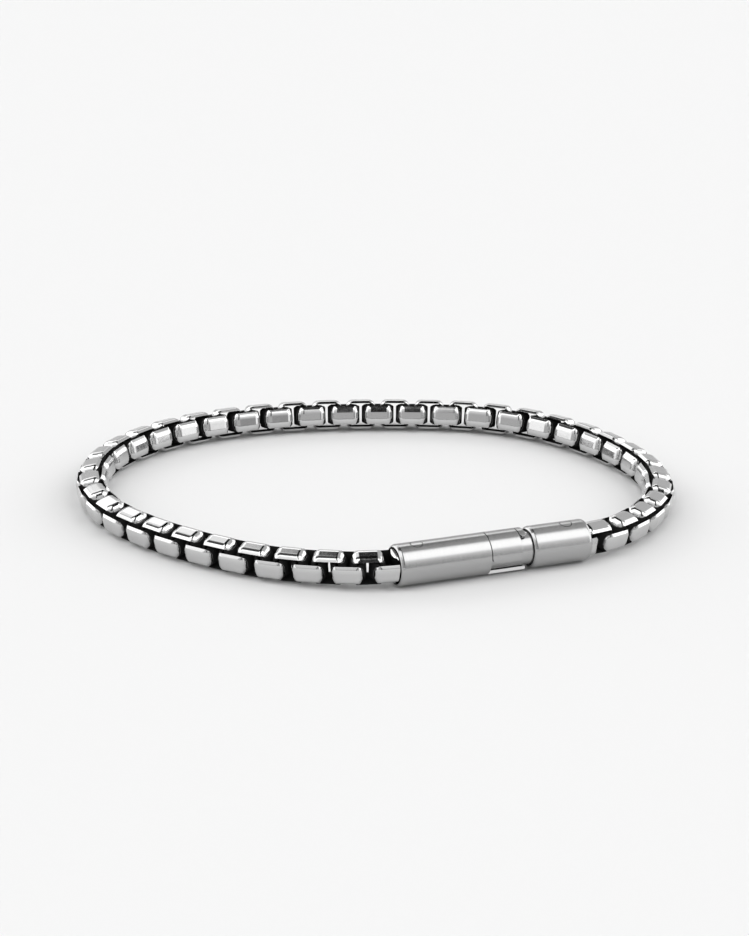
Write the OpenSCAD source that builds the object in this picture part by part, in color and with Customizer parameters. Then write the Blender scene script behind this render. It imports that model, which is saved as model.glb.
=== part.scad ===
// Box chain bracelet with a barrel clasp, lying on a flat surface as a closed loop.
// Square links lie flat and stand on edge in turn, and each passes through its two neighbours.
// The whole chain leans outwards. The clasp lies along X at the front, and the origin is on the
// floor under the middle of the loop.

/* [Links] */
// Length of one link along the chain, outside
link_length = 3.8; // [3.75:0.05:3.9]
// Width of one link across the chain
link_width = 3.85; // [3.75:0.05:3.95]
// Height of the strip that a link is bent from
strip_height = 2.4; // [2.3:0.05:2.45]
// Thickness of a link's two end bars
end_wall = 0.58; // [0.54:0.02:0.6]
// Thickness of a link's two side plates
side_wall = 0.4; // [0.36:0.02:0.46]
// Play along the chain between the end bars of two neighbours
link_play = 0.39; // [0.38:0.01:0.42]
// Rounding of a link's four corners
corner_r = 0.75; // [0.6:0.05:0.85]
// Width of the bevel along the edges of a side plate
bevel_width = 0.6; // [0.4:0.05:0.65]
// Depth of that bevel
bevel_depth = 0.3; // [0.24:0.02:0.34]
// How far the middle of an end bar stands out past its edges
end_dome = 0.32; // [0.2:0.02:0.36]
// Degrees that the links lean outwards
lean = 14; // [0:1:16]

/* [Clasp] */
// Diameter of both barrels
barrel_d = 5; // [5:0.1:5.6]
// Length of the fastened clasp from face to face
clasp_len = 24.5; // [23:0.5:27]
// Length of the plug barrel at the right
plug_len = 7.6; // [7:0.2:8.6]
// Gap between the sleeve and the plug barrel, where the core shows
core_gap = 0.6; // [0.4:0.1:1]
// Length of the sleeve's stretch that is cut open round the pad
sleeve_len = 4.9; // [4.4:0.1:6]
// Length of the hook at the sleeve's free end
hook_len = 0.85; // [0.7:0.05:1.1]
// Rounding of the barrels' rims
rim_r = 0.5; // [0.3:0.05:0.6]
// Wall round the blind holes in the barrels' outer ends
barrel_wall = 0.3; // [0.26:0.01:0.32]
// Depth of those blind holes, which take the ends of the chain
hole_depth = 4.4; // [4.2:0.1:5]

/* [Rivets] */
// Diameter of the two cross rivets
rivet_d = 1.5; // [1.2:0.1:1.6]
// Degrees that the rivets lean outwards, less than the end links that they hold
rivet_lean = 5; // [4:1:14]
// Distance of a rivet's axis from its barrel's outer face
rivet_inset = 2.7; // [2.6:0.1:2.9]
// Gap round a rivet
rivet_gap = 0.04; // [0.03:0.01:0.06]

/* [Hidden] */
$fn = 96;
margin = 1; // how far a cutter reaches past the solid that it cuts

// Links
hole_length = link_length - 2 * end_wall;
hole_width = link_width - 2 * side_wall;
link_step = hole_length - link_play; // from the middle of one link to the next
corner_relief = 0.05; // the corners are rounded from a line this far past the domed ends
dome_r = (pow(strip_height / 2, 2) + pow(end_dome, 2)) / (2 * end_dome);

// Clasp, with lengths measured along X from the socket barrel's outer face
barrel_r = barrel_d / 2;
hole_r = barrel_r - barrel_wall;
plug_start = clasp_len - plug_len;
sleeve_end = plug_start - core_gap;
window_start = sleeve_end - sleeve_len;
hook_start = sleeve_end - hook_len;
sleeve_r = 0.84 * barrel_r; // inner radius of the sleeve
core_r = sleeve_r - 0.1;
core_len = core_gap + sleeve_len + 2.5;
core_end_gap = 0.3; // between the core's end and the bottom of the sleeve

// The sleeve's window, the hook at its end and the pad in it, as angles round the clasp's axis:
// 0 faces the front, 90 the top
window_low = -60;
window_high = 100;
hook_tip = 57;
pad_low = -11;
pad_high = 97;
pad_gap = 0.1; // along the clasp, on both sides of the pad
pad_corner_r = 0.75;

// End links, measured inwards from the face of their barrel
socket_seat = 1.5; // to the middle of the chain's upright end
plug_seat = 0.85; // to the middle of the chain's flat end
end_link_depth = 3.9;

// How the chain lies, clockwise from the socket barrel. A row is a stretch of the chain:
// its number of steps from link to link, and the degrees that each step turns.
steps = 0;
turn = 1;
lie = [
    [1, 8],
    [2, 10.3],
    [5, 3.3],
    [8, 2.9],
    [8, 6],
    [4, 6.4],
    [7, 4.7],
    [7, 2.8],
    [7, 1.5],
    [7, 5.2],
    [7, 4],
    [7, 6.3],
    [4, 4.4],
    [3, 9.6]
];
rise_steps = 8; // the chain comes down from the clasp to the floor over this many steps

step_turn = [for (row = lie) for (i = [1 : row[steps]]) row[turn]];
last = len(step_turn); // number of the plug's end link; the socket's end link is number 0
chain_start = [socket_seat - clasp_len / 2, 0];
chain_end = [clasp_len / 2 - plug_seat, 0];
turn_left_over = (360 - total(step_turn)) / last;

function total(list) = list * [for (i = list) 1];

// The turn of one step: the table's, and a small even wave, the ease, that closes the loop
function eased_turn(i, ease) =
    let (round_loop = 360 * (i + 0.5) / last)
    step_turn[i] + turn_left_over + ease * [cos(round_loop), sin(round_loop)];

// The way that each link points
function headings(ease) =
    [for (heading = 180, i = 0; i <= last;
          heading = heading - (i < last ? eased_turn(i, ease) : 0), i = i + 1) heading];

function step_vector(i, headings) =
    let (mean = (headings[i] + headings[i + 1]) / 2)
    link_step * [cos(mean), sin(mean)];

// The middle of each link, seen from above
function middles(headings) =
    [for (middle = chain_start, i = 0; i <= last;
          middle = middle + (i < last ? step_vector(i, headings) : [0, 0]), i = i + 1) middle];

function miss(ease) = middles(headings(ease))[last] - chain_end;

// Newton's method: the ease for which the chain ends at the plug barrel
function settled(ease, rounds) =
    rounds == 0 ? ease :
    let (probe = 0.01,
         off = miss(ease),
         by_x = (miss(ease + [probe, 0]) - off) / probe,
         by_y = (miss(ease + [0, probe]) - off) / probe,
         area = by_x.x * by_y.y - by_y.x * by_x.y)
    settled(ease - [off.x * by_y.y - by_y.x * off.y, by_x.x * off.y - off.x * by_x.y] / area,
            rounds - 1);

way = headings(settled([0, 0], 5));
middle = middles(way);

// Half of a link's extent across the chain, measured level, and of its extent upwards when it
// stands on edge, which is the same
half_extent = max((strip_height / 2 - bevel_width) * sin(lean) + link_width / 2 * cos(lean),
                  strip_height / 2 * sin(lean) + (link_width / 2 - bevel_depth) * cos(lean));

// Height of a link's middle above the floor, and its slope along the chain
function height(i) =
    let (share = min(1, min(i, last - i) / rise_steps))
    half_extent + (barrel_r - half_extent) * (1 + cos(180 * share)) / 2;
function slope(i) = atan2(height(i + 1) - height(i - 1), 2 * link_step);

// The loop's box, from how far each flat link reaches to the sides
function reach(along, across) =
    (link_length / 2 - corner_r) * abs(along) + (half_extent - corner_r) * abs(across) + corner_r;
low_x = min([for (i = [1 : 2 : last]) middle[i].x - reach(cos(way[i]), sin(way[i]))]);
high_x = max([for (i = [1 : 2 : last]) middle[i].x + reach(cos(way[i]), sin(way[i]))]);
high_y = max([for (i = [1 : 2 : last]) middle[i].y + reach(sin(way[i]), cos(way[i]))]);
loop_middle = [(low_x + high_x) / 2, (high_y - barrel_r) / 2, 0];

// Puts the origin under the middle of the loop's box
module in_frame() {
    translate(-loop_middle) children();
}

// Puts Z on the clasp's axis, from the socket barrel's outer face towards the plug, and X to the front
module on_clasp_axis() {
    in_frame()
        translate([-clasp_len / 2, 0, barrel_r])
            rotate([0, 90, 0])
                rotate([0, 0, -90])
                    children();
}

module rounded_rectangle(length, width, r) {
    square([length - 2 * r, width], center = true);
    square([length, width - 2 * r], center = true);
    for (x = [-1, 1], y = [-1, 1])
        translate([x * (length / 2 - r), y * (width / 2 - r)])
            circle(r);
}

// A link's section along the chain: two arcs that bulge past the ends of the strip
module domed_section() {
    intersection() {
        translate([link_length / 2 - dome_r, 0])
            circle(dome_r);
        translate([dome_r - link_length / 2, 0])
            circle(dome_r);
    }
}

// A link's section across the chain: the strip's height, with the bevels of the side plates drawn on
// until they meet
module bevelled_section() {
    flat = link_width / 2 - bevel_depth;
    edge = strip_height / 2;
    tip = flat + bevel_depth * edge / bevel_width;
    polygon([[tip, 0], [flat, edge], [-flat, edge], [-tip, 0], [-flat, -edge], [flat, -edge]]);
}

// A link that lies flat and points along X, before its hole is cut
module link_blank() {
    intersection() {
        linear_extrude(strip_height + margin, center = true)
            rounded_rectangle(link_length + 2 * corner_relief, link_width, corner_r);
        rotate([90, 0, 0])
            linear_extrude(link_width + margin, center = true)
                domed_section();
        rotate([90, 0, 90])
            linear_extrude(link_length + margin, center = true)
                bevelled_section();
    }
}

module flat_link() {
    difference() {
        link_blank();
        cube([hole_length, hole_width, strip_height + margin], center = true);
    }
}

module upright_link() {
    rotate([90, 0, 0]) flat_link();
}

module box_chain() {
    color("gainsboro")
        in_frame()
            for (i = [1 : last - 1])
                translate([middle[i].x, middle[i].y, height(i)])
                    rotate([-lean, -slope(i), way[i]])
                        if (i % 2 == 1) flat_link(); else upright_link();
}

// An end link that points along X: the chain's outermost bar at the left, a window for its
// neighbour's bar, and a solid tongue with the rivet's hole. It is turned about X by roll, and the
// hole by tilt.
module end_link(seat, roll, tilt) {
    window_end = link_length / 2 - link_step + link_play;
    difference() {
        rotate([roll, 0, 0])
            difference() {
                union() {
                    link_blank();
                    rotate([90, 0, 90])
                        linear_extrude(end_link_depth - seat)
                            intersection() {
                                bevelled_section();
                                square([link_width, strip_height + margin], center = true);
                            }
                }
                translate([-hole_length / 2, -hole_width / 2, -link_width / 2])
                    cube([hole_length / 2 + window_end, hole_width, link_width]);
            }
        translate([rivet_inset - seat, 0, 0])
            rotate([tilt, 0, 0])
                cylinder(d = rivet_d + 2 * rivet_gap, h = link_width + margin, center = true);
    }
}

module socket_end_link() {
    color("gainsboro")
        in_frame()
            translate([socket_seat - clasp_len / 2, 0, barrel_r])
                rotate([lean, 0, 0])
                    end_link(socket_seat, 90, rivet_lean - lean);
}

module plug_end_link() {
    color("gainsboro")
        in_frame()
            translate([clasp_len / 2 - plug_seat, 0, barrel_r])
                rotate([-lean, 0, 180])
                    end_link(plug_seat, 0, lean - rivet_lean);
}

// What rounding a corner takes away, from the middle of the rounding outwards
module corner_waste(r) {
    difference() {
        square(r + margin);
        circle(r);
    }
}

// What rounding the end of a strip takes away, from the middle of the rounding outwards
module tip_waste(r) {
    difference() {
        translate([-r - margin, 0])
            square([2 * (r + margin), r + margin]);
        circle(r);
    }
}

// A barrel that stands on the origin, with its two rims rounded
module barrel(length, bottom_rim, top_rim) {
    rotate_extrude()
        difference() {
            square([barrel_r, length]);
            translate([barrel_r - top_rim, length - top_rim])
                corner_waste(top_rim);
            translate([barrel_r - bottom_rim, bottom_rim])
                mirror([0, 1])
                    corner_waste(bottom_rim);
        }
}

// A wedge from the clasp's axis outwards, between two angles and two lengths along the axis
module wedge(low, high, start, end) {
    sides = 3;
    far = 2 * barrel_r;
    translate([0, 0, start])
        linear_extrude(end - start)
            polygon([[0, 0], for (i = [0 : sides])
                let (angle = low + (high - low) * i / sides) far * [cos(angle), -sin(angle)]]);
}

// Stands a flat shape on the clasp's wall and runs it through, with X towards the socket barrel's
// outer face and Y to lower angles
module through_wall(along, angle) {
    translate([0, 0, along])
        rotate([0, 0, -angle])
            rotate([0, 90, 0])
                translate([0, 0, core_r / 2])
                    linear_extrude(barrel_r)
                        children();
}

module blind_hole(depth, r) {
    translate([0, 0, -margin])
        cylinder(r = r, h = depth + margin);
}

module rivet_hole() {
    rotate([90, 0, rivet_lean])
        cylinder(d = rivet_d + 2 * rivet_gap, h = barrel_d + margin, center = true);
}

module socket_barrel() {
    sleeve_rim = 0.2;
    tip_r = hook_len / 2 + 0.03; // meets the hook's long edges at a slight angle
    color("silver")
        on_clasp_axis()
            difference() {
                barrel(sleeve_end, rim_r, sleeve_rim);
                blind_hole(hole_depth, hole_r);
                translate([0, 0, rivet_inset])
                    rivet_hole();
                translate([0, 0, plug_start - core_len - core_end_gap])
                    cylinder(r = sleeve_r, h = clasp_len);
                wedge(window_low, window_high, window_start, hook_start);
                wedge(window_low, hook_tip, window_start, clasp_len);
                through_wall(hook_start + hook_len / 2, hook_tip + asin(tip_r / barrel_r))
                    tip_waste(tip_r);
            }
}

// The raised pad that the hook holds, flush with the barrels
module pad() {
    start = window_start + pad_gap;
    difference() {
        intersection() {
            cylinder(r = barrel_r, h = clasp_len);
            wedge(pad_low, pad_high, start, hook_start - pad_gap);
        }
        through_wall(start + pad_corner_r, pad_low + asin(pad_corner_r / barrel_r))
            corner_waste(pad_corner_r);
    }
}

module plug_barrel() {
    color("silver")
        on_clasp_axis()
            difference() {
                union() {
                    translate([0, 0, plug_start])
                        barrel(plug_len, rim_r, rim_r);
                    translate([0, 0, plug_start - core_len])
                        cylinder(r = core_r, h = core_len + margin);
                    pad();
                }
                translate([0, 0, clasp_len])
                    mirror([0, 0, 1])
                        blind_hole(hole_depth, hole_r);
                translate([0, 0, clasp_len - rivet_inset])
                    rivet_hole();
            }
}

// A pin that crosses a barrel and its end link, cut flush with the barrel at both ends
module rivet(along) {
    color("lightgray")
        on_clasp_axis()
            translate([0, 0, along])
                intersection() {
                    rotate([90, 0, rivet_lean])
                        cylinder(d = rivet_d, h = barrel_d + margin, center = true);
                    cylinder(d = barrel_d, h = 2 * rivet_d, center = true);
                }
}

module socket_rivet() {
    rivet(rivet_inset);
}

module plug_rivet() {
    rivet(clasp_len - rivet_inset);
}

box_chain();
socket_barrel();
plug_barrel();
socket_end_link();
plug_end_link();
socket_rivet();
plug_rivet();
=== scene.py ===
import math

import bmesh
import bpy
import numpy as np
from mathutils import Matrix, Vector


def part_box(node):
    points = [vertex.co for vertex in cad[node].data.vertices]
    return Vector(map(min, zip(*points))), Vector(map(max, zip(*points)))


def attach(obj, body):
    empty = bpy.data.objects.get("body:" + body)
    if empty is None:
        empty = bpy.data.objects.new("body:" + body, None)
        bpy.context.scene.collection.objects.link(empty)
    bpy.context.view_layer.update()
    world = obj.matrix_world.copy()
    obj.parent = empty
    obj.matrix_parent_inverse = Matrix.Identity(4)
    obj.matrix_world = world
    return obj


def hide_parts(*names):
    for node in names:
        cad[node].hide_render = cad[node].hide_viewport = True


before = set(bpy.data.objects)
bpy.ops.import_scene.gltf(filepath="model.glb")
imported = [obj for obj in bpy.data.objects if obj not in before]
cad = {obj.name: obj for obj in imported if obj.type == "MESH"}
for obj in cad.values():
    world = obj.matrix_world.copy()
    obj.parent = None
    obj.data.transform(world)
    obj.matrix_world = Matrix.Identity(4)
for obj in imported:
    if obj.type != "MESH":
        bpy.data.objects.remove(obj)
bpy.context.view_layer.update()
scene = bpy.context.scene
mm = 0.001


# --- The chain: square steel links, lying flat and standing on edge in turn ---
# Each link is a polished steel strip bent into a square, with a bevel round both of its edges,
# and hangs in its two neighbours. Geometry Nodes put the links where the CAD chain has them.

link_length, link_width = 3.8 * mm, 3.85 * mm
hole_length, hole_width = 2.64 * mm, 3.05 * mm
strip_height = 2.4 * mm
bevel_width, bevel_depth = 0.56 * mm, 0.37 * mm
lean = math.radians(14)  # the chain leans outwards all round


def merged_copy(node):
    """A copy of a CAD node's mesh with its loose triangles joined."""
    made = bmesh.new()
    made.from_mesh(cad[node].data)
    bmesh.ops.remove_doubles(made, verts=made.verts, dist=0.0004 * mm)
    bmesh.ops.recalc_face_normals(made, faces=made.faces)
    return made


def loose_parts(made):
    """The corner points of each separate solid in a mesh."""
    parts, seen = [], set()
    for first in made.verts:
        if first in seen:
            continue
        seen.add(first)
        stack, points = [first], []
        while stack:
            vert = stack.pop()
            points.append(vert.co[:])
            for edge in vert.link_edges:
                other = edge.other_vert(vert)
                if other not in seen:
                    seen.add(other)
                    stack.append(other)
        parts.append(np.array(points))
    return parts


def node_centre(node):
    low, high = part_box(node)
    return np.array((low + high) / 2)


chain_mesh = merged_copy("box_chain")
loose_links = loose_parts(chain_mesh)
chain_mesh.free()

# The links in their order round the loop, from the socket barrel to the plug barrel
links_in_order = []
here = node_centre("socket_end_link")
while loose_links:
    middles = [(part.min(0) + part.max(0)) / 2 for part in loose_links]
    nearest = min(range(len(middles)), key=lambda i: np.linalg.norm(middles[i] - here))
    here = middles[nearest]
    links_in_order.append(loose_links.pop(nearest))


def across_extent(points, heading):
    """Width of a link seen from above, square to a heading."""
    side = points[:, 1] * math.cos(heading) - points[:, 0] * math.sin(heading)
    return side.max() - side.min()


link_places, link_turns = [], []
rough = [(part.min(0) + part.max(0)) / 2 for part in links_in_order]
rough = [node_centre("socket_end_link"), *rough, node_centre("plug_end_link")]
for number, points in enumerate(links_in_order, 1):
    before, after = rough[number - 1], rough[number + 1]
    guess = math.atan2(after[1] - before[1], after[0] - before[0])
    # headings up to 6 degrees from the guess; the link is narrowest across its own
    tries = [guess + math.radians(step / 10) for step in range(-60, 61)]
    heading = min(tries, key=lambda angle: across_extent(points, angle))
    run = math.hypot(after[0] - before[0], after[1] - before[1])
    rise = after[2] - before[2] if 1 < number < len(links_in_order) else 0
    forwards = np.array([math.cos(heading), math.sin(heading), 0])
    across = np.array([-math.sin(heading), math.cos(heading), 0])
    middle = [(points @ way).max() / 2 + (points @ way).min() / 2 for way in (forwards, across)]
    place = forwards * middle[0] + across * middle[1]
    place[2] = (points[:, 2].max() + points[:, 2].min()) / 2
    link_places.append(place)
    on_edge = math.pi / 2 if number % 2 == 0 else 0
    link_turns.append((on_edge - lean, -math.atan2(rise, run), heading))


def rounded_section(corners):
    """A closed polygon with its corners rounded. Each corner has a place, a radius, steps round
    it, and whether a point is kept close before and after it."""
    support = 0.02 * mm
    ring = []
    for i, (corner, radius, steps, kept_before, kept_after) in enumerate(corners):
        corner = Vector(corner)
        back = (Vector(corners[i - 1][0]) - corner).normalized()
        ahead = (Vector(corners[(i + 1) % len(corners)][0]) - corner).normalized()
        half = back.angle(ahead) / 2
        cut = radius / math.tan(half)
        centre = corner + (back + ahead).normalized() * radius / math.sin(half)
        start, end = corner + back * cut, corner + ahead * cut
        if kept_before:
            ring.append(start + back * support)
        for step in range(steps + 1):
            point = start.lerp(end, step / steps) - centre
            ring.append(centre + point.normalized() * radius)
        if kept_after:
            ring.append(end + ahead * support)
    return ring


def link_sections():
    """Sections of the strip through a side plate, through the end of an end bar and through its
    middle, as outward depth and height. Depth is measured from the inner face, and each bevel
    has two steps."""
    edge = strip_height / 2
    fine_r, step_r = 0.03 * mm, 0.2 * mm  # roundings of the edges and between the two steps
    plate_thick = (link_width - hole_width) / 2
    bar_thick = (link_length - hole_length) / 2
    sections = []
    # Thickness, the outer step's depth and width, the bevel's own, and the rounding where it ends
    for thick, outer_depth, outer_width, depth, width, end_r in (
        (plate_thick, 0.12 * mm, 0.3 * mm, bevel_depth, bevel_width, 1.2 * mm),
        (bar_thick, 0.14 * mm, 0.45 * mm, 0.42 * mm, 0.8 * mm, 0.4 * mm),
        (bar_thick, 0.06 * mm, 0.12 * mm, 0.15 * mm, 0.25 * mm, 0.1 * mm),
    ):
        upper = [
            ((0, edge), fine_r, 1, False, False),
            ((thick - depth, edge), fine_r, 1, False, True),
            ((thick - outer_depth, edge - width + outer_width), step_r, 2, False, False),
            ((thick, edge - width), end_r, 2, False, True),
        ]
        lower = [
            ((place[0], -place[1]), radius, steps, kept_after, kept_before)
            for place, radius, steps, kept_before, kept_after in reversed(upper)
        ]
        sections.append((thick, rounded_section(upper + lower)))
    return sections


def link_stations():
    """Stations round the link seen from above: inner point, outer point, outward direction,
    share of the end bar's section, and 1 in the middle of a bar."""
    corner_r, inner_r, support = 0.85 * mm, 0.1 * mm, 0.04 * mm
    bulge = 0.2 * mm  # the end bars stand out between the side plates
    bulge_along_bar = ((0.25, 0.6), (0.5, 1), (0.75, 0.6))  # place along the bar, share of bulge
    outer = Vector((link_length / 2 - corner_r, link_width / 2 - corner_r))
    inner = Vector((hole_length / 2 - inner_r, hole_width / 2 - inner_r))
    stations = []

    def station(inner_at, outer_at, way, share, mid_bar=0):
        stations.append((inner_at + way * inner_r, outer_at + way * corner_r, way, share, mid_bar))

    for quarter, sign in enumerate(((1, 1), (-1, 1), (-1, -1), (1, -1))):
        # this quarter's corner, from an end bar to a side plate or back
        turn = quarter * math.pi / 2
        to_plate = quarter % 2 == 0
        onwards = Vector((-math.cos(turn), -math.sin(turn)))
        inner_middle = Vector((inner.x * sign[0], inner.y * sign[1]))
        outer_middle = Vector((outer.x * sign[0], outer.y * sign[1]))
        steps = 5
        for step in range(-1, steps + 2):
            turned = min(max(step / steps, 0), 1)
            angle = turn + turned * math.pi / 2
            way = Vector((math.cos(angle), math.sin(angle)))
            slide = Vector((0, 0))
            if step < 0:
                slide = Vector((math.sin(turn), -math.cos(turn))) * support
            elif step > steps:
                slide = onwards * support
            share = 1 - turned if to_plate else turned
            station(inner_middle + slide, outer_middle + slide, way, share)
        if not to_plate:
            for part, stands_out in bulge_along_bar:
                station(
                    inner_middle + onwards * 2 * inner.y * part,
                    outer_middle + onwards * 2 * outer.y * part + way * bulge * stands_out,
                    way,
                    1,
                    mid_bar=1,
                )
    return stations


def build_link():
    """One link, lying flat, with its middle at the origin and its length along X."""
    (plate_thick, plate), (bar_thick, bar_end), (_, bar_middle) = link_sections()
    made = bmesh.new()
    inside = made.verts.layers.float.new("inside")
    inner_face = (0, 1, len(plate) - 2, len(plate) - 1)  # points that lie on the link's inside
    inner_zone = 0.1 * mm  # points less deep than this go with the inner face, the rest outside
    # where the painted shade begins on the end bars, how much further round the corners it reaches
    # at the strip's edges, and how fast it fades in
    shade_share, shade_nearer_at_edges, shade_fade = 0.98, 0.35, 3
    rings = []
    for inner, outer, way, share, mid_bar in link_stations():
        ring = []
        bar = bar_middle if mid_bar else bar_end
        for (plate_depth, plate_height), (bar_depth, bar_height) in zip(plate, bar):
            if plate_depth < inner_zone:
                at = inner + way * ((1 - share) * plate_depth + share * bar_depth)
            else:
                inset = (1 - share) * (plate_thick - plate_depth) + share * (
                    bar_thick - bar_depth
                )
                at = outer - way * inset
            height = (1 - share) * plate_height + share * bar_height
            corner_point = made.verts.new((at.x, at.y, height))
            # painted shade: the link's inside is near black, and so are the end bars outside and,
            # at the strip's edges, the corners, in place of the shade in the gaps between links
            shade_from = shade_share - shade_nearer_at_edges * (2 * height / strip_height) ** 2
            shade_amount = min(max(0.55 + shade_fade * (share - shade_from), 0), 1)
            corner_point[inside] = 1 if len(ring) in inner_face else shade_amount
            ring.append(corner_point)
        rings.append(ring)
    for ring, following in zip(rings, rings[1:] + rings[:1]):
        for i in range(len(ring)):
            j = (i + 1) % len(ring)
            made.faces.new((ring[i], ring[j], following[j], following[i]))
    bmesh.ops.recalc_face_normals(made, faces=made.faces)
    for face in made.faces:
        face.smooth = True
    mesh = bpy.data.meshes.new("one_link")
    made.to_mesh(mesh)
    made.free()
    return bpy.data.objects.new("one_link", mesh)


def new_material(name):
    """A material with its node tree and its one shader."""
    made = bpy.data.materials.new(name)
    made.use_nodes = True
    nodes = made.node_tree.nodes
    nodes.clear()
    shader = nodes.new("ShaderNodeBsdfPrincipled")
    output = nodes.new("ShaderNodeOutputMaterial")
    made.node_tree.links.new(shader.outputs["BSDF"], output.inputs["Surface"])
    return made, made.node_tree, shader


def noise(tree, stretch, detail=3):
    """A noise texture in Object coordinates, stretched per axis."""
    where = tree.nodes.new("ShaderNodeTexCoord")
    mapping = tree.nodes.new("ShaderNodeMapping")
    mapping.inputs["Scale"].default_value = stretch
    pattern = tree.nodes.new("ShaderNodeTexNoise")
    pattern.inputs["Scale"].default_value = 1
    pattern.inputs["Detail"].default_value = detail
    tree.links.new(where.outputs["Object"], mapping.inputs["Vector"])
    tree.links.new(mapping.outputs["Vector"], pattern.inputs["Vector"])
    return pattern


def ranged(tree, source, low, high):
    """The middle of a noise's range spread from low to high."""
    spread = tree.nodes.new("ShaderNodeMapRange")
    spread.inputs["From Min"].default_value = 0.3
    spread.inputs["From Max"].default_value = 0.7
    spread.inputs["To Min"].default_value = low
    spread.inputs["To Max"].default_value = high
    tree.links.new(source.outputs["Fac"], spread.inputs["Value"])
    return spread.outputs["Result"]


def bumped(tree, shader, source, depth, base=None):
    """Lets a noise disturb the shader's normal."""
    bump = tree.nodes.new("ShaderNodeBump")
    bump.inputs["Strength"].default_value = 1
    bump.inputs["Distance"].default_value = depth
    tree.links.new(source.outputs["Fac"], bump.inputs["Height"])
    if base:
        tree.links.new(base, bump.inputs["Normal"])
    tree.links.new(bump.outputs["Normal"], shader.inputs["Normal"])


def paint_marked_shade(tree, shader, polished):
    """Steel with painted shade: near black and not metallic where the mesh's shade attribute is 1.
    """
    # the colour of the painted shade
    dark = 0.02
    inside = tree.nodes.new("ShaderNodeAttribute")
    inside.attribute_name = "inside"
    for socket, outside_value, inside_value in (
        ("Base Color", polished, dark),
        ("Metallic", 1, 0),
    ):
        level = tree.nodes.new("ShaderNodeMapRange")
        level.inputs["From Min"].default_value = 0.4
        level.inputs["From Max"].default_value = 0.7
        level.inputs["To Min"].default_value = outside_value
        level.inputs["To Max"].default_value = inside_value
        tree.links.new(inside.outputs["Fac"], level.inputs["Value"])
        tree.links.new(level.outputs["Result"], shader.inputs[socket])
    shader.inputs["Specular IOR Level"].default_value = 0


link_steel, tree, shader = new_material("polished_link_steel")
# painted shade on the links' insides, their end bars and the corners next to them
paint_marked_shade(tree, shader, 0.6)
fine_wear = noise(tree, (2500, 2500, 2500))
tree.links.new(ranged(tree, fine_wear, 0.09, 0.15), shader.inputs["Roughness"])
bumped(tree, shader, fine_wear, 0.0012 * mm)


def links_tree():
    """Puts one link on each point, with the point's turn, and makes plain geometry of them."""
    tree = bpy.data.node_groups.new("links_in_a_row", "GeometryNodeTree")
    face = tree.interface
    for name, kind in (
        ("Places", "NodeSocketGeometry"),
        ("Link", "NodeSocketObject"),
        ("Steel", "NodeSocketMaterial"),
    ):
        face.new_socket(name=name, in_out="INPUT", socket_type=kind)
    face.new_socket(name="Chain", in_out="OUTPUT", socket_type="NodeSocketGeometry")
    made = {
        name: tree.nodes.new(kind)
        for name, kind in (
            ("in", "NodeGroupInput"),
            ("points", "GeometryNodeMeshToPoints"),
            ("link", "GeometryNodeObjectInfo"),
            ("turn", "GeometryNodeInputNamedAttribute"),
            ("rotation", "FunctionNodeEulerToRotation"),
            ("instances", "GeometryNodeInstanceOnPoints"),
            ("real", "GeometryNodeRealizeInstances"),
            ("steel", "GeometryNodeSetMaterial"),
            ("out", "NodeGroupOutput"),
        )
    }
    made["turn"].data_type = "FLOAT_VECTOR"
    made["turn"].inputs["Name"].default_value = "turn"
    for source, output, target, socket in (
        ("in", "Places", "points", "Mesh"),
        ("in", "Link", "link", "Object"),
        ("points", "Points", "instances", "Points"),
        ("link", "Geometry", "instances", "Instance"),
        ("turn", "Attribute", "rotation", "Euler"),
        ("rotation", "Rotation", "instances", "Rotation"),
        ("instances", "Instances", "real", "Geometry"),
        ("real", "Geometry", "steel", "Geometry"),
        ("in", "Steel", "steel", "Material"),
        ("steel", "Geometry", "out", "Chain"),
    ):
        tree.links.new(made[source].outputs[output], made[target].inputs[socket])
    return tree


def plain_piece(name, carrier):
    """The evaluated result of an object's modifiers as a plain mesh on a new object."""
    bpy.context.view_layer.update()
    evaluated = carrier.evaluated_get(bpy.context.evaluated_depsgraph_get())
    mesh = bpy.data.meshes.new_from_object(evaluated)
    mesh.name = name
    made = bpy.data.objects.new(name, mesh)
    scene.collection.objects.link(made)
    bpy.data.objects.remove(carrier)
    return made


one_link = build_link()
scene.collection.objects.link(one_link)
points_mesh = bpy.data.meshes.new("link_places")
points_mesh.from_pydata([tuple(place) for place in link_places], [], [])
turn_attribute = points_mesh.attributes.new("turn", "FLOAT_VECTOR", "POINT")
turn_attribute.data.foreach_set("vector", np.array(link_turns, np.float32).ravel())
places = bpy.data.objects.new("link_places", points_mesh)
scene.collection.objects.link(places)
row = places.modifiers.new("links", "NODES")
row.node_group = links_tree()
for item in row.node_group.interface.items_tree:
    if item.name == "Link":
        row[item.identifier] = one_link
    elif item.name == "Steel":
        row[item.identifier] = link_steel
chain = plain_piece("polished_chain", places)
bpy.data.objects.remove(one_link)
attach(chain, "root")
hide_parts("box_chain")


# --- The end links that tie the chain into the barrels ---
# The same polished steel as the chain. Each is a link whose inner half is a solid tongue, which
# sits in its barrel and is held there by a cross rivet.

for name in ("socket_end_link", "plug_end_link"):
    made = merged_copy(name)
    for face in made.faces:
        face.smooth = False
    mesh = bpy.data.meshes.new(name.replace("_link", "_tongue"))
    made.to_mesh(mesh)
    made.free()
    mesh.materials.clear()
    mesh.materials.append(link_steel)
    piece = bpy.data.objects.new(mesh.name, mesh)
    scene.collection.objects.link(piece)
    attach(piece, "root")
    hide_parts(name)


# --- The clasp's two barrels ---
# Two barrels that lock into each other with a twist, turned from steel bar. They are brushed
# round their axis, so fine rings spread the light along it.

barrel_steel, tree, shader = new_material("brushed_barrel_steel")
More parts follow.
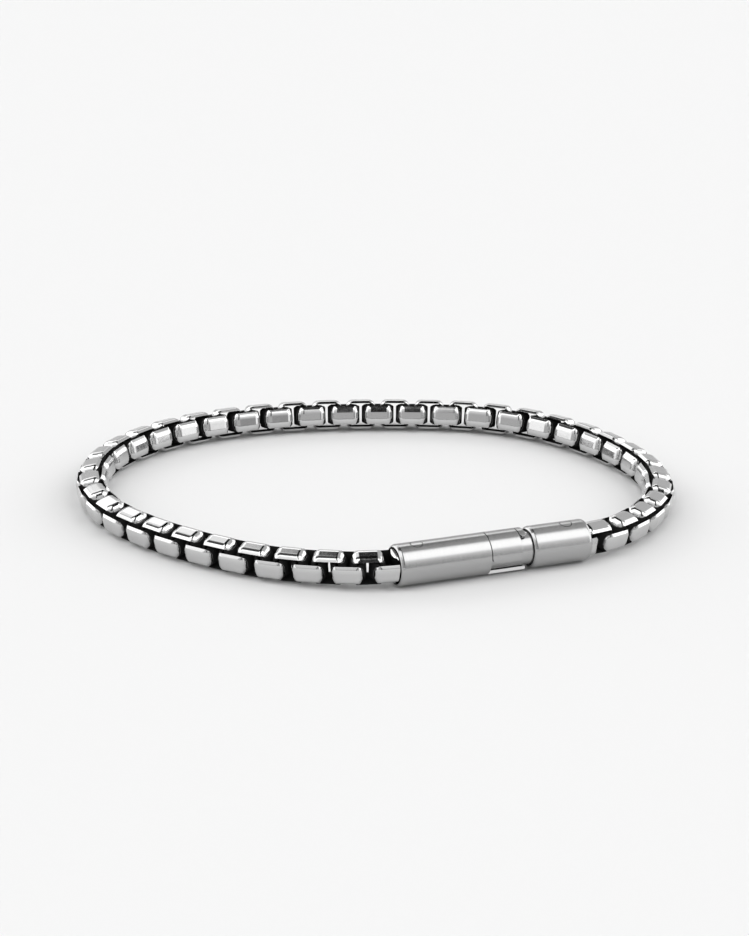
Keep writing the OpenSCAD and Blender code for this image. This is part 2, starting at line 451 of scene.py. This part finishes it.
# painted shade on the barrels' end faces and on the faces that look in towards the axis
paint_marked_shade(tree, shader, 0.42)
rings = noise(tree, (26000, 400, 400))
tree.links.new(ranged(tree, rings, 0.12, 0.25), shader.inputs["Roughness"])
edges = tree.nodes.new("ShaderNodeBevel")
edges.samples = 6
edges.inputs["Radius"].default_value = 0.06 * mm
bumped(tree, shader, rings, 0.0045 * mm, edges.outputs["Normal"])

barrel_r, rim_r = 2.5 * mm, 0.5 * mm
sleeve_r = 0.84 * barrel_r  # inner radius of the sleeve
core_r = sleeve_r - 0.1 * mm
hole_r = barrel_r - 0.3 * mm  # the blind holes that take the chain's ends
low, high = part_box("socket_barrel")
axis_y, axis_z = (low.y + high.y) / 2, (low.z + high.z) / 2
clasp_start, clasp_end = low.x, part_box("plug_barrel")[1].x


def surface_normal(at, face_normal, cylinders, roundings):
    """The true normal at a point of a turned surface, or None where the face is none of them."""
    near_cylinder, near_rounding, same_way = 0.004 * mm, 0.01 * mm, 0.93
    away = Vector((0, at.y - axis_y, at.z - axis_z))
    r = away.length
    if r < 1e-6:
        return None
    away /= r
    for radius in cylinders:
        if abs(r - radius) < near_cylinder and abs(away.dot(face_normal)) > same_way:
            return away if away.dot(face_normal) > 0 else -away
    for middle_x, middle_r, size in roundings:
        off = Vector((at.x - middle_x, 0, 0)) + away * (r - middle_r)
        way = off.normalized()
        if abs(off.length - size) < near_rounding and way.dot(face_normal) > same_way:
            return way
    return None


def turned_copy(node, name, cylinders, roundings):
    """A merged copy of a barrel's mesh that carries the true normals of its turned surfaces."""
    made = merged_copy(node)
    for face in made.faces:
        face.smooth = True
    mesh = bpy.data.meshes.new(name)
    made.to_mesh(mesh)
    made.free()
    # painted shade: full on the end faces within the clasp and on faces that look in towards the
    # axis, weaker on the two outer end faces
    half_shade = 0.52  # the two outer end faces
    end_zone, hole_wall, square_on = 1 * mm, 0.9 * mm, 0.9
    normals, shade_amount = [], []
    for polygon in mesh.polygons:
        middle = polygon.center
        inwards = -polygon.normal.y * (middle.y - axis_y) - polygon.normal.z * (middle.z - axis_z)
        within = clasp_start + end_zone < middle.x < clasp_end - end_zone
        cut = 0 if abs(polygon.normal.x) < square_on else 1 if within else half_shade
        shade_amount.append(max(cut, float(inwards > hole_wall)))
        points = [mesh.vertices[v].co for v in polygon.vertices]
        found = [surface_normal(p, polygon.normal, cylinders, roundings) for p in points]
        if None in found:
            found = [polygon.normal.copy()] * len(points)
        normals += found
    mesh.normals_split_custom_set(normals)
    mesh.attributes.new("inside", "FLOAT", "FACE").data.foreach_set("value", shade_amount)
    mesh.materials.clear()
    mesh.materials.append(barrel_steel)
    piece = bpy.data.objects.new(name, mesh)
    scene.collection.objects.link(piece)
    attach(piece, "root")
    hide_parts(node)
    return piece


turned_copy(
    "socket_barrel",
    "brushed_socket_barrel",
    [barrel_r, sleeve_r, hole_r],
    [(clasp_start + rim_r, barrel_r - rim_r, rim_r)],
)
turned_copy(
    "plug_barrel",
    "brushed_plug_barrel",
    [barrel_r, core_r, hole_r],
    [(clasp_end - rim_r, barrel_r - rim_r, rim_r)],
)


# --- The two cross rivets ---
# Short satin steel pins that go across the barrels and hold the chain's ends in them. They are
# ground flush, and the seam round each is painted dark as painted shade.

pin_lean = math.radians(5)
# distance from the pin's axis where the painted seam shade begins and where it is fully dark
seam_start, seam_end = 0.64 * mm, 0.74 * mm
for name in ("socket_rivet", "plug_rivet"):
    rivet_steel, tree, shader = new_material(name.replace("rivet", "pin_steel"))
    shader.inputs["Metallic"].default_value = 1
    shader.inputs["Roughness"].default_value = 0.16
    where = tree.nodes.new("ShaderNodeTexCoord")
    from_axis = tree.nodes.new("ShaderNodeMapping")
    from_axis.vector_type = "TEXTURE"
    from_axis.inputs["Location"].default_value = node_centre(name)
    from_axis.inputs["Rotation"].default_value = (pin_lean, 0, 0)
    flattened = tree.nodes.new("ShaderNodeVectorMath")
    flattened.operation = "MULTIPLY"
    flattened.inputs[1].default_value = (1, 1, 0)
    radius = tree.nodes.new("ShaderNodeVectorMath")
    radius.operation = "LENGTH"
    tree.links.new(where.outputs["Object"], from_axis.inputs["Vector"])
    tree.links.new(from_axis.outputs["Vector"], flattened.inputs[0])
    tree.links.new(flattened.outputs["Vector"], radius.inputs[0])
    # painted shade: the pin's colour goes from 0.42 to 0.08 across the seam at its rim
    seam_shade = tree.nodes.new("ShaderNodeMapRange")
    seam_shade.inputs["From Min"].default_value = seam_start
    seam_shade.inputs["From Max"].default_value = seam_end
    seam_shade.inputs["To Min"].default_value = 0.42
    seam_shade.inputs["To Max"].default_value = 0.08
    tree.links.new(radius.outputs["Value"], seam_shade.inputs["Value"])
    tree.links.new(seam_shade.outputs["Result"], shader.inputs["Base Color"])
    cad[name].data.materials.clear()
    cad[name].data.materials.append(rivet_steel)


# --- Floor, light and camera ---
# A wide sheet of pale paper under a soft studio dome, seen from the photo's place. None of it
# belongs to the bracelet.

floor_mesh = bpy.data.meshes.new("floor")
half = 4.0  # metres
floor_mesh.from_pydata(
    [(-half, -half, 0), (half, -half, 0), (half, half, 0), (-half, half, 0)], [], [(0, 1, 2, 3)]
)
floor = bpy.data.objects.new("floor", floor_mesh)
floor.location.z = -0.01 * mm
scene.collection.objects.link(floor)
paper, tree, shader = new_material("pale_paper")
shader.inputs["Base Color"].default_value = (0.735, 0.735, 0.735, 1)
shader.inputs["Roughness"].default_value = 0.9
shader.inputs["Specular IOR Level"].default_value = 0
floor_mesh.materials.append(paper)

azimuth, elevation, roll = math.radians(23.1), math.radians(20.47), math.radians(-1.27)
to_camera = Vector((-math.sin(azimuth), -math.cos(azimuth), 0))
camera_right = Vector((math.cos(azimuth), -math.sin(azimuth), 0))

# The dome: a softbox overhead and one at each side, and a narrow dark gap over the camera. The
# levels are fitted to the reflections in the photo
world = bpy.data.worlds.new("studio")
scene.world = world
world.use_nodes = True
tree = world.node_tree
tree.nodes.clear()
sky = tree.nodes.new("ShaderNodeBackground")
output = tree.nodes.new("ShaderNodeOutputWorld")
tree.links.new(sky.outputs["Background"], output.inputs["Surface"])
direction = tree.nodes.new("ShaderNodeTexCoord")
parts = tree.nodes.new("ShaderNodeSeparateXYZ")
tree.links.new(direction.outputs["Generated"], parts.inputs["Vector"])
height = parts.outputs["Z"]


def reach_along(way):
    """How far a direction of the dome goes along a level direction."""
    made = tree.nodes.new("ShaderNodeVectorMath")
    made.operation = "DOT_PRODUCT"
    made.inputs[1].default_value = way
    tree.links.new(direction.outputs["Generated"], made.inputs[0])
    return made.outputs["Value"]


def worked_out(operation, *values):
    """The result of a maths node on sockets and numbers."""
    made = tree.nodes.new("ShaderNodeMath")
    made.operation = operation
    for socket, value in zip(made.inputs, values):
        if isinstance(value, bpy.types.NodeSocket):
            tree.links.new(value, socket)
        else:
            socket.default_value = value
    return made.outputs["Value"]


def levels_by_angle(upward, forward, levels):
    """Brightness by the angle in degrees from one direction towards another."""
    node = tree.nodes.new("ShaderNodeValToRGB")
    ramp = node.color_ramp
    ramp.elements.remove(ramp.elements[0])
    for i, (angle, level) in enumerate(levels):
        stop = ramp.elements[0] if i == 0 else ramp.elements.new(angle / 180)
        stop.position = angle / 180
        stop.color = (level / full, level / full, level / full, 1)
    share = worked_out("DIVIDE", worked_out("ARCTAN2", upward, forward), math.pi)
    tree.links.new(share, node.inputs["Fac"])
    return node.outputs["Color"]


def rising(value, start, end):
    """0 up to the start value and 1 from the end value on."""
    share = worked_out("MULTIPLY", worked_out("SUBTRACT", value, start), 1 / (end - start))
    return worked_out("MINIMUM", worked_out("MAXIMUM", share, 0), 1)


full = 3  # the brightest level
towards = reach_along(to_camera)
rightwards = reach_along(camera_right)
sideways = worked_out("ABSOLUTE", rightwards)
# Angles go from the horizon at the camera's side, over the zenith at 90, to the far horizon
overhead = levels_by_angle(
    height,
    towards,
    [(0, 0.7), (10, 0.76), (20, 0.82), (45, 1.3), (56, 2.0), (62, 2.8), (94, 2.8), (98, 0.1),
     (120, 0.1), (126, 1.6), (136, 1.6), (140, 2.4), (150, 2.4), (156, 0.85), (180, 0.85)],
)
overhead_right = levels_by_angle(
    height,
    towards,
    [(0, 0.42), (8, 0.48), (25, 0.8), (44, 1.5), (54, 3), (93, 3), (100, 0.8), (180, 0.8)],
)
beside = levels_by_angle(
    sideways,
    towards,
    [(0, 0), (45, 0.3), (54, 1.8), (96, 1.9), (104, 2.8), (142, 2.8), (150, 0), (180, 0)],
)
above_or_below_gap = levels_by_angle(
    height, towards, [(0, full), (12, full), (16, 0), (134, 0), (138, full), (180, full)]
)
gap_middle = worked_out("MULTIPLY_ADD", worked_out("MINIMUM", towards, 0), 0.2, 0.13)
from_gap = worked_out("ABSOLUTE", worked_out("SUBTRACT", rightwards, gap_middle))
beside_gap = worked_out("MAXIMUM", rising(from_gap, 0.11, 0.16), 0.02)
to_right = worked_out("SUBTRACT", overhead_right, overhead)
from_right = worked_out("MULTIPLY_ADD", worked_out("MAXIMUM", towards, 0), -0.45, rightwards)
above = worked_out("MULTIPLY_ADD", to_right, rising(from_right, 0.08, 0.13), overhead)
low_beside = worked_out("MULTIPLY", beside, rising(height, 0.75, 0.55))
light = worked_out("MAXIMUM", above, low_beside)
open_share = worked_out("MAXIMUM", above_or_below_gap, beside_gap)
tree.links.new(
    worked_out("MULTIPLY", worked_out("MULTIPLY", light, open_share), full), sky.inputs["Strength"]
)

aim, distance = Vector((4.21, 10.09, 0)) * mm, 398.5 * mm
back = to_camera * math.cos(elevation) + Vector((0, 0, math.sin(elevation)))
up = back.cross(camera_right)
turned_right = camera_right * math.cos(roll) - up * math.sin(roll)
turned_up = camera_right * math.sin(roll) + up * math.cos(roll)
camera = bpy.data.objects.new("camera", bpy.data.cameras.new("camera"))
scene.collection.objects.link(camera)
camera.matrix_world = Matrix.Translation(aim + back * distance) @ Matrix(
    (turned_right, turned_up, back)
).transposed().to_4x4()
focal_length_px, photo_height_px = 3130, 936
camera.data.sensor_width = 36
camera.data.lens = focal_length_px * 36 / photo_height_px
camera.data.clip_start, camera.data.clip_end = 0.05, 20
scene.camera = camera

scene.view_settings.view_transform = "Standard"
